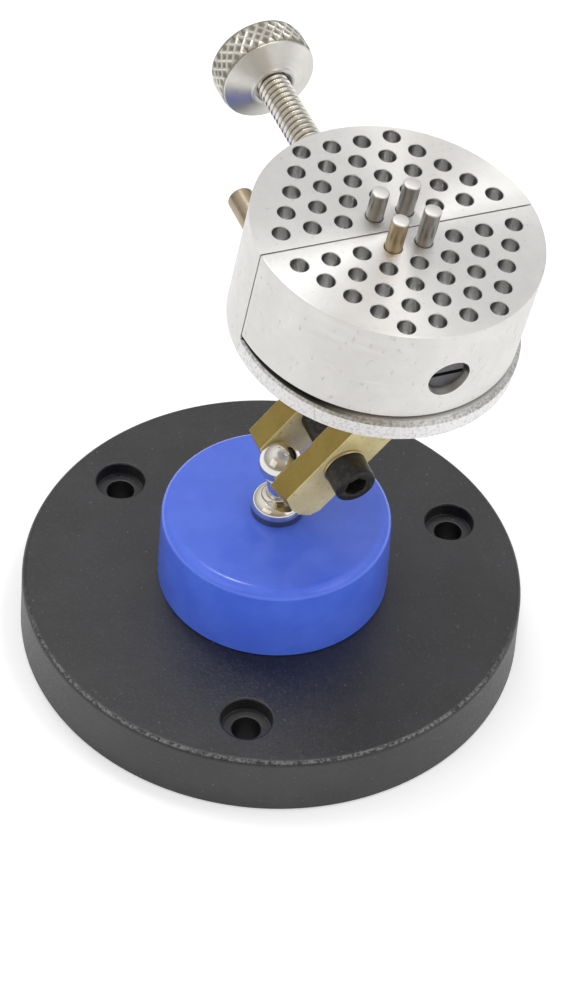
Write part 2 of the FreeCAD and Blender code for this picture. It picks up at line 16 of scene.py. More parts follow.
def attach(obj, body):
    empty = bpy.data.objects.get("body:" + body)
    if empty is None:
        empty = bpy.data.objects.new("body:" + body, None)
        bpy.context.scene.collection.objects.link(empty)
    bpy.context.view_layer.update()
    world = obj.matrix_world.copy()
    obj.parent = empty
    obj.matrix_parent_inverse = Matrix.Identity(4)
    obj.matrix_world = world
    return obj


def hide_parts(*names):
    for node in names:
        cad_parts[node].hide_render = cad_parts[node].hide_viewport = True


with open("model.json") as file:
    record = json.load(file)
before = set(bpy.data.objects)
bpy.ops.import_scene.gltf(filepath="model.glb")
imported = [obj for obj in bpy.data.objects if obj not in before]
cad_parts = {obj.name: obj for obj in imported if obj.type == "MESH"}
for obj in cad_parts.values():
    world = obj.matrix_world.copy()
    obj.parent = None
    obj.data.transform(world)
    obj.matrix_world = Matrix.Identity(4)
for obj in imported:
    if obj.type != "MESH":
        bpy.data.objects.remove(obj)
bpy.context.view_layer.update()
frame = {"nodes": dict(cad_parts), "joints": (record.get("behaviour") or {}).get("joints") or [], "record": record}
bpy.ops.object.select_all(action="DESELECT")

# %% [markdown]
# ## Where things are
# The vise's head is tilted and turned, so its pieces are modelled upright at the origin and then
# carried to their place. The joints in the record give the directions: the head spins about its
# own axis, and the moving jaw slides straight away from the split. One of the record's mounts
# is a hole in the second row of the far jaw, which fixes the middle of the split. A matrix for
# each straight line of the object keeps every later step short.

# %% The lines that the pieces are built on
MM = 0.001
joints = {joint["name"]: joint for joint in frame["joints"]}
mounts = {mount["name"]: mount for mount in frame["record"]["mounts"]}
head_up = Vector(joints["head_spin"]["axis"]).normalized()
across = -Vector(joints["jaw_slide"]["axis"]).normalized()
along = across.cross(head_up)
FIRST_ROW, ROW_STEP, HOLE_STEP = 4.02, 4.6, 6.16
jaw_top = Vector(mounts["fixed_jaw_hole"]["pos_m"]) - across * (FIRST_ROW + ROW_STEP) * MM


def axes_at(origin, x, y, z):
    """The matrix that carries a piece from the origin to this place and these directions."""
    turn = Matrix((x, y, z)).transposed().to_4x4()
    return Matrix.Translation(origin) @ turn


HEAD = axes_at(jaw_top, along, across, head_up)
lower_ball = Vector(joints["arm_tilt"]["pos_m"])
upper_ball = Vector(joints["head_tilt"]["pos_m"])
arm_along = (upper_ball - lower_ball).normalized()
ARM = axes_at(lower_ball, arm_along, across, arm_along.cross(across))
SCREW_DROP = 11.3
AWAY = Matrix.Rotation(-math.pi / 2, 4, "X")
SCREW_LINE = HEAD @ Matrix.Translation((0, 0, -SCREW_DROP * MM)) @ AWAY
print("jaw top at", [round(c / MM, 2) for c in jaw_top])
print("arm length", round((upper_ball - lower_ball).length / MM, 2))

# %% [markdown]
# ## Turning pieces
# Most parts of a vise are turned on a lathe: studs, screws, washers, the cap and the knob. A
# stack of cylinders could stand in for them, but it has no rounded edges. Here one point is
# extruded along half of the section and then spun round, which is what the lathe does.

# %% A lathe
def pick_up(piece):
    """Makes this the only selected piece, because operators act on all that is selected."""
    bpy.ops.object.select_all(action="DESELECT")
    piece.select_set(True)
    bpy.context.view_layer.objects.active = piece


def draw_line(name, corners):
    """A line of edges through these corners, drawn by extruding one point."""
    bpy.ops.object.select_all(action="DESELECT")
    bpy.ops.mesh.primitive_plane_add(size=MM, location=(0, 0, 0))
    piece = bpy.context.object
    piece.name = name
    bpy.ops.object.mode_set(mode="EDIT")
    bpy.ops.mesh.select_mode(type="VERT")
    bpy.ops.mesh.select_all(action="SELECT")
    bpy.ops.mesh.merge(type="CENTER")
    bpy.ops.transform.translate(value=Vector(corners[0]) * MM)
    for before, after in zip(corners, corners[1:]):
        step = (Vector(after) - Vector(before)) * MM
        bpy.ops.mesh.extrude_vertices_move(TRANSFORM_OT_translate={"value": step})
    bpy.ops.mesh.select_all(action="SELECT")
    return piece


def turned(name, section, steps=96):
    """Spins half of a section, given as (radius, height) in millimetres, about the Z axis."""
    piece = draw_line(name, [(radius, 0, height) for radius, height in section])
    bpy.ops.mesh.spin(steps=steps, angle=2 * math.pi, center=(0, 0, 0), axis=(0, 0, 1))
    bpy.ops.mesh.select_all(action="SELECT")
    bpy.ops.mesh.remove_doubles(threshold=0.002 * MM)
    bpy.ops.mesh.normals_make_consistent(inside=False)
    bpy.ops.object.mode_set(mode="OBJECT")
    return piece


def arc(middle_r, middle_z, radius, first, last, steps):
    """Points of an arc in a section, from one angle in degrees to another."""
    angles = [math.radians(first + (last - first) * step / steps) for step in range(steps + 1)]
    return [(middle_r + radius * math.cos(a), middle_z + radius * math.sin(a)) for a in angles]


# %% Cutting, softening and placing
def cut_away(piece, cutter):
    """Takes the cutter's shape out of the piece, as a drill or a mill does."""
    pick_up(piece)
    bpy.ops.object.modifier_add(type="BOOLEAN")
    tool = piece.modifiers[-1]
    tool.object, tool.operation, tool.solver = cutter, "DIFFERENCE", "EXACT"
    bpy.ops.object.modifier_apply(modifier=tool.name)
    bpy.data.objects.remove(cutter, do_unlink=True)


def soften(piece, width, segments=3, angle=35):
    """Rounds every sharp edge by this width in millimetres."""
    pick_up(piece)
    bpy.ops.object.modifier_add(type="BEVEL")
    edge = piece.modifiers[-1]
    edge.width, edge.segments = width * MM, segments
    edge.limit_method, edge.angle_limit = "ANGLE", math.radians(angle)
    bpy.ops.object.modifier_apply(modifier=edge.name)


def carry(piece, place):
    """Moves the piece's mesh to its place, and leaves the object itself at the origin."""
    pick_up(piece)
    piece.matrix_world = place @ piece.matrix_world
    bpy.ops.object.transform_apply(location=True, rotation=True, scale=True)


def shade(piece, angle=30):
    """Smooth shading on round faces, flat faces kept flat up to their rounded edges."""
    pick_up(piece)
    bpy.ops.object.shade_smooth_by_angle(angle=math.radians(angle))
    bpy.ops.object.modifier_add(type="WEIGHTED_NORMAL")
    flat = piece.modifiers[-1]
    flat.keep_sharp = True
    bpy.ops.object.modifier_apply(modifier=flat.name)


def hand_over(piece, body, finish, slot, *nodes):
    """Gives the finished piece its material, and puts it on the frame in place of the CAD nodes."""
    piece.data.materials.clear()
    piece.data.materials.append(finish)
    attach(piece, body)
    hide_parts(*nodes)
    print(piece.name, "faces:", len(piece.data.polygons))


# %% [markdown]
# ## Finishes
# Every finish is a set of shader nodes on Object coordinates. Pieces sit at the origin with
# their place in the mesh, so a pattern keeps its scale in metres on all of them, and it rides
# with the piece when a joint moves. A colour is what the surface reflects under plain light, and
# the small changes of roughness and height make it look like a material.

# %% Node helpers
def new_finish(name, color, metallic, roughness):
    """A material with its main values set on the shader's own sockets."""
    finish = bpy.data.materials.new(name)
    finish.use_nodes = True
    shader = finish.node_tree.nodes["Principled BSDF"]
    shader.inputs["Base Color"].default_value = (*color, 1)
    shader.inputs["Metallic"].default_value = metallic
    shader.inputs["Roughness"].default_value = roughness
    return finish, finish.node_tree, shader


def add_node(tree, kind, settings=None, **values):
    """Adds a node. Settings are its options, and values go to its input sockets by name."""
    made = tree.nodes.new(kind)
    for key, value in (settings or {}).items():
        setattr(made, key, value)
    for key, value in values.items():
        made.inputs[key.replace("_", " ")].default_value = value
    return made


def place_on(tree, place=None):
    """Object coordinates, or coordinates measured from a tilted place on the object."""
    spot = add_node(tree, "ShaderNodeTexCoord")
    if place is None:
        return spot.outputs["Object"]
    local = add_node(tree, "ShaderNodeMapping", {"vector_type": "TEXTURE"})
    local.inputs["Location"].default_value = place.to_translation()
    local.inputs["Rotation"].default_value = place.to_euler("XYZ")
    tree.links.new(spot.outputs["Object"], local.inputs["Vector"])
    return local.outputs["Vector"]


def noise(tree, spot, size, detail=3, roughness=0.5, stretch=None):
    """Noise with grains of this size in millimetres, stretched along an axis if asked."""
    if stretch is not None:
        longer = add_node(tree, "ShaderNodeMapping")
        longer.inputs["Scale"].default_value = stretch
        tree.links.new(spot, longer.inputs["Vector"])
        spot = longer.outputs["Vector"]
    scale = 1 / (size * MM)
    made = add_node(tree, "ShaderNodeTexNoise", Scale=scale, Detail=detail, Roughness=roughness)
    tree.links.new(spot, made.inputs["Vector"])
    return made.outputs["Fac"]


def spread(tree, value, low, high, to_low=0.0, to_high=1.0):
    """Stretches the part of a value between low and high over a new range."""
    made = add_node(tree, "ShaderNodeMapRange", {"interpolation_type": "SMOOTHSTEP"},
                    From_Min=low, From_Max=high, To_Min=to_low, To_Max=to_high)
    tree.links.new(value, made.inputs["Value"])
    return made.outputs["Result"]


def blend_colors(tree, share, first, second):
    """One colour turning into another; either may be a socket or a plain colour."""
    made = add_node(tree, "ShaderNodeMix", {"data_type": "RGBA"})
    tree.links.new(share, made.inputs["Factor"])
    for socket, color in ((6, first), (7, second)):
        if isinstance(color, tuple):
            made.inputs[socket].default_value = (*color, 1)
        else:
            tree.links.new(color, made.inputs[socket])
    return made.outputs[2]


def times(tree, first, second):
    """Two shares multiplied, so that both must hold."""
    both = add_node(tree, "ShaderNodeMath", {"operation": "MULTIPLY"})
    tree.links.new(first, both.inputs[0])
    tree.links.new(second, both.inputs[1])
    return both.outputs["Value"]


def band(tree, value, start, end, fade):
    """One where a value lies between two numbers and nothing outside, with soft edges."""
    rise = spread(tree, value, start - fade, start + fade)
    return times(tree, rise, spread(tree, value, end - fade, end + fade, 1.0, 0.0))


def measured_from(tree, place):
    """A place's own coordinates as X, Y and Z, and the distance from its axis."""
    parts = add_node(tree, "ShaderNodeSeparateXYZ")
    tree.links.new(place_on(tree, place), parts.inputs["Vector"])
    plane = add_node(tree, "ShaderNodeCombineXYZ")
    tree.links.new(parts.outputs["X"], plane.inputs["X"])
    tree.links.new(parts.outputs["Y"], plane.inputs["Y"])
    reach = add_node(tree, "ShaderNodeVectorMath", {"operation": "LENGTH"})
    tree.links.new(plane.outputs["Vector"], reach.inputs[0])
    return parts.outputs["X"], parts.outputs["Y"], parts.outputs["Z"], reach.outputs["Value"]


def relief(tree, shader, height, depth, under=None):
    """Raises the surface by a height pattern, this many millimetres deep."""
    bump = add_node(tree, "ShaderNodeBump", Strength=1.0, Distance=depth * MM)
    tree.links.new(height, bump.inputs["Height"])
    if under is not None:
        tree.links.new(under, bump.inputs["Normal"])
    tree.links.new(bump.outputs["Normal"], shader.inputs["Normal"])
    return bump.outputs["Normal"]


def brushed_round(tree, shader, place):
    """Spreads the shine across rings round the axis of a place, as turning marks do."""
    arm = add_node(tree, "ShaderNodeVectorMath", {"operation": "SUBTRACT"})
    arm.inputs[1].default_value = place.to_translation()
    tree.links.new(place_on(tree), arm.inputs[0])
    circle = add_node(tree, "ShaderNodeVectorMath", {"operation": "CROSS_PRODUCT"})
    circle.inputs[0].default_value = place.to_3x3() @ Vector((0, 0, 1))
    tree.links.new(arm.outputs["Vector"], circle.inputs[1])
    turned_out = add_node(tree, "ShaderNodeVectorTransform",
                          {"vector_type": "VECTOR", "convert_from": "OBJECT", "convert_to": "WORLD"})
    tree.links.new(circle.outputs["Vector"], turned_out.inputs["Vector"])
    tree.links.new(turned_out.outputs["Vector"], shader.inputs["Tangent"])
    quarter_turn = 0.25
    shader.inputs["Anisotropic Rotation"].default_value = quarter_turn


# %% [markdown]
# ### Black textured coat
# The base is a casting with a thick wrinkled black coat, matt on top. Up close the coat is a field of small bumps
# with a few pale specks of dust. Noise at three sizes does this without any painted image. Along the front of the
# rim, a lighter tone broken up by noise is a painted highlight.

# %% Black coat
black_coat, tree, shader = new_finish("black_coat", (0.018, 0.018, 0.020), 0.0, 0.40)
spot = place_on(tree)
cloud = noise(tree, spot, 14, 3, 0.6)
grain = noise(tree, spot, 0.5, 4, 0.65)
speck = spread(tree, noise(tree, spot, 0.7, 2, 0.5), 0.70, 0.76, 0.0, 0.7)
clouded = spread(tree, cloud, 0.35, 0.7)
base_tone = blend_colors(tree, clouded, (0.008, 0.008, 0.010), (0.017, 0.017, 0.020))
dust = spread(tree, grain, 0.5, 0.75, 0.0, 0.5)
dusty = blend_colors(tree, dust, base_tone, (0.070, 0.070, 0.074))
speckled = blend_colors(tree, speck, dusty, (0.15, 0.145, 0.13))
tree.links.new(speckled, shader.inputs["Base Color"])
tree.links.new(spread(tree, grain, 0.3, 0.7, 0.32, 0.50), shader.inputs["Roughness"])
shader.inputs["Specular IOR Level"].default_value = 0.75
soft = relief(tree, shader, noise(tree, spot, 3.0, 2, 0.5), 0.05)
relief(tree, shader, grain, 0.05, soft)
print("black coat ready")

# %% [markdown]
# ### Blue plastic
# The cap is moulded in one blue plastic, satin with a soft sheen and faint rub marks. The colour
# hardly changes, so it is the roughness that varies, as on a real moulding that has been wiped.

# %% Blue plastic
blue_plastic, tree, shader = new_finish("blue_plastic", (0.088, 0.182, 0.90), 0.0, 0.26)
spot = place_on(tree)
rubbed = noise(tree, spot, 9, 4, 0.65)
blue = blend_colors(tree, spread(tree, rubbed, 0.35, 0.7), (0.080, 0.170, 0.87), (0.098, 0.200, 0.93))
tree.links.new(blue, shader.inputs["Base Color"])
tree.links.new(spread(tree, rubbed, 0.3, 0.75, 0.16, 0.26), shader.inputs["Roughness"])
shader.inputs["Specular IOR Level"].default_value = 0.65
relief(tree, shader, noise(tree, spot, 1.6, 3, 0.5), 0.006)
print("blue plastic ready")

# %% [markdown]
# ### Plated and turned steel
# The ball stud is polished and plated, the screws are plain, and the jaws are turned bright with
# fine rings that spread the shine into two bright wedges. One maker of steel finishes covers
# them: its colour, its roughness, how fine and deep the marks are, and the axis that they run
# round. Without an axis the marks are the same all ways.

# %% A maker of steel finishes
def steel(name, color, roughness, marks, depth, place=None, shine=0.0, stains=0.12):
    """Bright metal with fine marks of this size in millimetres, round an axis if one is given."""
    finish, tree, shader = new_finish(name, color, 1.0, roughness)
    spot = place_on(tree, place)
    if place is None:
        rings = noise(tree, spot, marks, 3, 0.6)
    else:
        _, _, height, reach = measured_from(tree, place)
        pair = add_node(tree, "ShaderNodeCombineXYZ")
        tree.links.new(reach, pair.inputs["X"])
        tree.links.new(height, pair.inputs["Y"])
        rings = noise(tree, pair.outputs["Vector"], marks, 2, 0.7)
        brushed_round(tree, shader, place)
        shader.inputs["Anisotropic"].default_value = shine
    blotch = noise(tree, spot, 6, 4, 0.65)
    darker = tuple(channel * (1 - stains) for channel in color)
    tone = blend_colors(tree, spread(tree, blotch, 0.35, 0.72), darker, color)
    tree.links.new(tone, shader.inputs["Base Color"])
    dullness = spread(tree, rings, 0.3, 0.7, roughness * 0.85, roughness * 1.2)
    tree.links.new(dullness, shader.inputs["Roughness"])
    relief(tree, shader, rings, depth)
    return finish


# %% The steels
chrome = steel("chrome_plate", (0.82, 0.79, 0.72), 0.10, 3, 0.002, stains=0.06)
jaw_steel = steel("turned_jaw_steel", (0.90, 0.885, 0.865), 0.40, 0.16, 0.0015, HEAD, 0.85, 0.06)
knob_steel = steel("knob_steel", (0.84, 0.82, 0.77), 0.36, 0.30, 0.016, SCREW_LINE, 0.85, 0.1)
thread_steel = steel("thread_steel", (0.86, 0.83, 0.76), 0.24, 2.0, 0.002, stains=0.1)
rod_steel = steel("rod_steel", (0.48, 0.39, 0.28), 0.28, 1.5, 0.002, stains=0.15)
warm_washer = steel("warm_washer_steel", (0.60, 0.50, 0.32), 0.35, 0.6, 0.003, stains=0.15)
zinc_steel = steel("zinc_plate", (0.60, 0.60, 0.58), 0.35, 0.6, 0.004, stains=0.2)
bush_steel = steel("bush_steel", (0.42, 0.42, 0.41), 0.40, 0.6, 0.004, stains=0.2)
dark_screw = steel("dark_slotted_screw", (0.15, 0.15, 0.16), 0.42, 0.5, 0.004, stains=0.2)
print("steels ready")

# %% [markdown]
# ### Marks that belong to a place
# Some marks sit in one place: painted shade in the roots of a thread and the hollows of a knurl, a painted
# highlight along a rim, and the smoother inside of a drilled hole, whose slightly darker tone is painted shade.
# They could be painted on an image, but each piece would first have to be unwrapped. Here a mask is one inside
# bands of height, depth and distance, all measured from the piece's own axis in millimetres, and a second tone is
# laid over the finish where it is one.

# %% A second tone where a mask says
FAR = 100


def laid_over(finish, share, color, roughness):
    """Gives a finish a second tone wherever the share is one."""
    tree = finish.node_tree
    shader = tree.nodes["Principled BSDF"]
    under = shader.inputs["Base Color"].links[0].from_socket
    tree.links.new(blend_colors(tree, share, under, color), shader.inputs["Base Color"])
    rough = add_node(tree, "ShaderNodeMix", {"data_type": "FLOAT"})
    tree.links.new(share, rough.inputs[0])
    tree.links.new(shader.inputs["Roughness"].links[0].from_socket, rough.inputs[2])
    rough.inputs[3].default_value = roughness
    tree.links.new(rough.outputs[0], shader.inputs["Roughness"])


def where(tree, *conditions):
    """One inside all these bands, each a value with its two ends and its fade in millimetres."""
    share = None
    for value, start, end, fade in conditions:
        inside = band(tree, value, start * MM, end * MM, fade * MM)
        share = inside if share is None else times(tree, share, inside)
    return share


print("a band may run out to", FAR, "mm, past every surface")

# %% Painted shade in the hollows of the knurl and the thread
tree = knob_steel.node_tree
_, _, z, reach = measured_from(tree, SCREW_LINE)
# Painted shade: the hollows of the knurl get a darker tone.
painted_pit_shade = where(tree, (reach, 9.0, 9.5, 0.12), (z, 53.45, 59.3, 0.1))
laid_over(knob_steel, painted_pit_shade, (0.36, 0.34, 0.27), 0.45)
tree = thread_steel.node_tree
# Painted shade: the roots of the thread get a darker tone.
painted_root_shade = where(tree, (measured_from(tree, SCREW_LINE)[3], -FAR, 2.74, 0.16))
laid_over(thread_steel, painted_root_shade, (0.36, 0.32, 0.25), 0.4)
print("knurl and thread darkened")

# %% Painted highlight along the base's rim, and painted shade at the stud's foot
tree = black_coat.node_tree
_, y, z, reach = measured_from(tree, Matrix())
# Painted highlight: a lighter tone along the front of the base's rim, broken up by noise.
rim_highlight_breakup = spread(tree, noise(tree, place_on(tree), 0.7, 4, 0.7), 0.42, 0.58)
painted_rim_highlight = where(tree, (z, 12.75, FAR, 0.15), (reach, 49.2, FAR, 0.2), (y, -FAR, -16, 12))
laid_over(black_coat, times(tree, painted_rim_highlight, rim_highlight_breakup), (0.17, 0.17, 0.175), 0.3)
tree = chrome.node_tree
_, _, z, reach = measured_from(tree, Matrix())
# Painted shade: a darker band at the foot of the stud's collar, where it meets the cap.
painted_foot_shade = where(tree, (z, 30.7, 32.3, 0.15), (reach, 4.9, FAR, 0.05))
laid_over(chrome, painted_foot_shade, (0.30, 0.26, 0.20), 0.12)
print("rim worn")

# %% Scuffs on the jaws, and the smoother insides of their holes, with painted shade
SHADED_DRILL_TONE = 0.82, 0.82, 0.82
tree = jaw_steel.node_tree
x, y, z, reach = measured_from(tree, HEAD)
scuffs = noise(tree, place_on(tree, HEAD), 1.1, 4, 0.75, (1, 1, 0.45))
laid_over(jaw_steel, spread(tree, scuffs, 0.60, 0.70, 0.0, 0.7), (0.60, 0.59, 0.57), 0.5)
# The holes' insides are smoother, and their slightly darker tone is painted shade.
for first, last in ((-FAR, -2), (2, FAR)):
    holes = where(tree, (z, -8.6, -0.2, 0.05), (reach, -FAR, 26.3, 0.05), (y, first, last, 0.05))
    laid_over(jaw_steel, holes, SHADED_DRILL_TONE, 0.24)
print("jaw holes ready")

# %% Rough rim of the disc, with painted shade on its chamfer and in the gap over it
TRIM, EDGE = -21.7, -20.92
rough_cut = noise(tree, place_on(tree, HEAD), 0.55, 3, 0.7)
coarse, fine = spread(tree, rough_cut, 0.38, 0.62), spread(tree, rough_cut, 0.36, 0.52)
# Painted shade: the chamfer band above the rim gets a greyer tone.
painted_chamfer_shade = blend_colors(tree, coarse, (0.50, 0.49, 0.48), (0.80, 0.79, 0.78))
bright_cut = blend_colors(tree, fine, (0.72, 0.71, 0.71), (0.95, 0.94, 0.94))
near_half = (y, -FAR, -0.4, 0.05)
outside = (reach, 26.2, FAR, 0.05)
laid_over(jaw_steel, where(tree, (z, -FAR, TRIM, 0.05), near_half), bright_cut, 0.42)
laid_over(jaw_steel, where(tree, (z, TRIM, EDGE, 0.05), near_half), painted_chamfer_shade, 0.45)
# Painted shade: the disc's top and the jaw's lower edge in the gap are painted near black, more so toward the left
# end.
painted_gap_shade = where(tree, (z, -20.85, -20.38, 0.03), near_half, outside)
laid_over(jaw_steel, painted_gap_shade, (0.06, 0.055, 0.05), 0.6)
painted_left_end_shade = where(tree, (z, -21.25, -20.18, 0.12), (y, -FAR, -0.2, 0.05), outside, (x, -FAR, -16, 5))
laid_over(jaw_steel, painted_left_end_shade, (0.05, 0.048, 0.045), 0.6)
print("jaw steel ready")

# %% [markdown]
# ### Brass
# The two arm plates are milled from brass bar. The broad faces get a pale, less metallic tone and the narrow edges
# a browner one: this is painted light and shade on one brass. The depth across the arm tells one from the other,
# because the edges lie between the two broad faces of each plate. Fine tarnish gathers in spots, so noise darkens
# the colour and roughens it together.

# %% Brass
brass, tree, shader = new_finish("milled_brass", (0.56, 0.44, 0.20), 1.0, 0.42)
spot = place_on(tree, ARM)
depth = add_node(tree, "ShaderNodeMath", {"operation": "ABSOLUTE"})
tree.links.new(measured_from(tree, ARM)[1], depth.inputs[0])
narrow = where(tree, (depth.outputs["Value"], 3.92, 9.08, 0.07))
tarnish = noise(tree, spot, 1.0, 5, 0.75)
mottle = noise(tree, spot, 7, 3, 0.6)
mottled = spread(tree, mottle, 0.35, 0.7)
# Painted light and shade: the narrow edges get a browner shaded tone, the broad faces a paler lit tone.
shaded_edge_tone = blend_colors(tree, mottled, (0.36, 0.255, 0.070), (0.42, 0.31, 0.095))
lit_face_tone = blend_colors(tree, mottled, (0.74, 0.62, 0.31), (0.86, 0.75, 0.40))
clean = blend_colors(tree, narrow, lit_face_tone, shaded_edge_tone)
spots = spread(tree, tarnish, 0.54, 0.72, 0.0, 0.6)
spotted = blend_colors(tree, spots, clean, (0.26, 0.20, 0.09))
tree.links.new(spotted, shader.inputs["Base Color"])
tree.links.new(spread(tree, narrow, 0.0, 1.0, 0.3, 1.0), shader.inputs["Metallic"])
tree.links.new(spread(tree, tarnish, 0.35, 0.7, 0.40, 0.56), shader.inputs["Roughness"])
mill = noise(tree, spot, 0.35, 2, 0.6, (0.06, 1, 1))
relief(tree, shader, mill, 0.008)
print("brass ready")

# %% [markdown]
# ### Black screw
# The clamp screw is blackened steel: almost black, but still with a metal's sheen along its
# edges, where the blackening has worn to grey.

# %% Black oxide
black_oxide, tree, shader = new_finish("black_oxide", (0.035, 0.032, 0.030), 0.6, 0.38)
rub = noise(tree, place_on(tree), 0.9, 4, 0.65)
worn = blend_colors(tree, spread(tree, rub, 0.45, 0.8), (0.028, 0.026, 0.024), (0.085, 0.080, 0.074))
tree.links.new(worn, shader.inputs["Base Color"])
tree.links.new(spread(tree, rub, 0.3, 0.7, 0.32, 0.5), shader.inputs["Roughness"])
relief(tree, shader, rub, 0.006)
print("black oxide ready")

# %% [markdown]
# ## Base
# The base is a heavy round casting with a rounded rim, three sunk holes and, underneath, a
# recess for the stud's nut. A cylinder is brought to its slight taper, its rim is rounded, and
# the holes are drilled with turned cutters whose mouths flare, because a thick coat rounds them.

# %% Base casting
BASE_HEIGHT, FOOT, RIM = 13.2, 50.4, 50.0
bpy.ops.mesh.primitive_cylinder_add(vertices=256, radius=FOOT * MM, depth=BASE_HEIGHT * MM,
                                    location=(0, 0, BASE_HEIGHT / 2 * MM))
base = bpy.context.object
base.name = "base_casting"
carry(base, Matrix())


def choose(piece, kind, test):
    """In edit mode, selects only the faces, edges or vertices that pass the test."""
    shape = bmesh.from_edit_mesh(piece.data)
    bpy.ops.mesh.select_mode(type={"verts": "VERT", "edges": "EDGE", "faces": "FACE"}[kind])
    bpy.ops.mesh.select_all(action="DESELECT")
    for part in getattr(shape, kind):
        if test(part):
            part.select = True
    shape.select_flush_mode()
    bmesh.update_edit_mesh(piece.data)


bpy.ops.object.mode_set(mode="EDIT")
choose(base, "faces", lambda face: face.normal.z > 0.9)
bpy.ops.transform.resize(value=(RIM / FOOT, RIM / FOOT, 1))
choose(base, "edges", lambda edge: all(v.co.z > (BASE_HEIGHT - 0.1) * MM for v in edge.verts))
bpy.ops.mesh.bevel(offset=1.2 * MM, segments=6, profile=0.5)
choose(base, "edges", lambda edge: all(v.co.z < 0.1 * MM for v in edge.verts))
bpy.ops.mesh.bevel(offset=0.4 * MM, segments=2, profile=0.5)
bpy.ops.object.mode_set(mode="OBJECT")

# %% Holes of the base
BOLT_CIRCLE = mounts["base_bolts"]["dims"]["pcd_mm"] / 2
FIRST_BOLT, PAST_TOP = -94, BASE_HEIGHT + 1
SINK_FLOOR = BASE_HEIGHT - 2.9
bolt_cutter = [(0, -1), (3.1, -1), (3.1, -0.01), (2.75, 0.35), (2.75, SINK_FLOOR - 0.35)]
bolt_cutter += [(2.85, SINK_FLOOR - 0.12), (3.1, SINK_FLOOR), (4.6, SINK_FLOOR)]
bolt_cutter += [(4.83, SINK_FLOOR + 0.08), (4.9, SINK_FLOOR + 0.3), (4.9, BASE_HEIGHT - 0.55)]
bolt_cutter += [(4.97, BASE_HEIGHT - 0.27), (5.13, BASE_HEIGHT - 0.1), (5.45, BASE_HEIGHT + 0.01)]
bolt_cutter += [(5.45, PAST_TOP), (0, PAST_TOP)]
for index in range(3):
    angle = math.radians(FIRST_BOLT + 120 * index)
    cutter = turned("bolt_cutter", bolt_cutter, 64)
    place = (BOLT_CIRCLE * MM * math.cos(angle), BOLT_CIRCLE * MM * math.sin(angle), 0)
    carry(cutter, Matrix.Translation(place))
    cut_away(base, cutter)
nut_room = [(0, -1), (10.4, -1), (10.4, -0.01), (10, 0.4), (10, 8), (7, 8)]
nut_room += [(7, PAST_TOP), (0, PAST_TOP)]
cut_away(base, turned("nut_room", nut_room, 64))
shade(base)
hand_over(base, "base", black_coat, "black_iron", "base_plate")

# %% [markdown]
# ## Blue cap
# A moulded cup covers the bush that the stud turns in. Its top edge is a generous round that
# catches a soft band of light, so the section has a real arc there. The section is that of a
# cup with its true wall, so the stud's hole in the top shows a thickness and not a paper edge.

# %% Blue cap
CAP_FOOT, CAP_TOP, CAP_EDGE, CAP_INSIDE = 23.05, 22.65, 2.2, 20.2
cap_bottom, cap_height = BASE_HEIGHT + 0.02, BASE_HEIGHT + 17.5
cap_ceiling = cap_height - 2.5
cap_section = [(CAP_INSIDE, cap_bottom), (CAP_FOOT - 0.25, cap_bottom), (CAP_FOOT, BASE_HEIGHT + 0.3)]
cap_section += arc(CAP_TOP - CAP_EDGE + 0.03, cap_height - CAP_EDGE, CAP_EDGE, 2, 90, 14)
cap_section += [(4.7, cap_height), (4.45, cap_height - 0.1), (4.4, cap_height - 0.3), (4.4, cap_ceiling)]
cap_section += [(CAP_INSIDE, cap_ceiling), (CAP_INSIDE, cap_bottom)]
cap = turned("blue_cap", cap_section, 160)
shade(cap)
hand_over(cap, "base", blue_plastic, "blue_plastic", "hub_cover")

# %% [markdown]
# ## Ball stud
# A ball on a thin neck rises from a low collar. It is one polished turning, and the round where
# the neck meets the ball is what makes it look turned and not assembled.

# %% Ball stud
BALL, NECK, BALL_LEVEL = 4.2, 2.3, 43.36
MEETING = 2.75
collar = cap_height + 0.05
neck_top = BALL_LEVEL - math.sqrt(BALL**2 - NECK**2)
ball_start = -math.degrees(math.acos(MEETING / BALL))
stud_section = [(0, 1.5), (2.7, 1.5), (3, 1.9), (3, 7.7), (4, 7.7), (4, collar), (5.05, collar)]
stud_section += [(5.2, collar + 0.15)] + arc(3.0, collar + 2.0, 2.2, 0, 84, 12)
stud_section += [(2.75, collar + 4.24), (2.42, collar + 4.40), (NECK, collar + 4.75)]
stud_section += [(NECK, neck_top - 0.75), (2.42, neck_top - 0.2)]
stud_section += arc(0, BALL_LEVEL, BALL, ball_start, 90, 28)
stud_section[-1] = (0, BALL_LEVEL + BALL)
stud = turned("ball_stud_chrome", stud_section, 96)
shade(stud, 40)
hand_over(stud, "stud", chrome, "chrome", "ball_stud")

# %% [markdown]
# ## Clamp plates
# Two brass bars with clipped corners hold the balls between them. The outline is drawn once and
# filled, extruded to the bar's thickness, and its edges are broken by a small bevel. The near
# bar's inner top corner is left longer than its outer one, as if the bar had been sawn a little
# askew. The ball seats and the screw's hole are cut last, so the inside is right as well.

# %% Clamp plates
SPAN, GAP, BAR = 21.0, 7.6, 5.4
SCREW_LEVEL, ASKEW = -2.6, 1.9
left_corners = [(1.2, 2.6), (3.4, -1.15), (3.9, -3.8), (3.4, -6.4), (1.55, -7.6)]


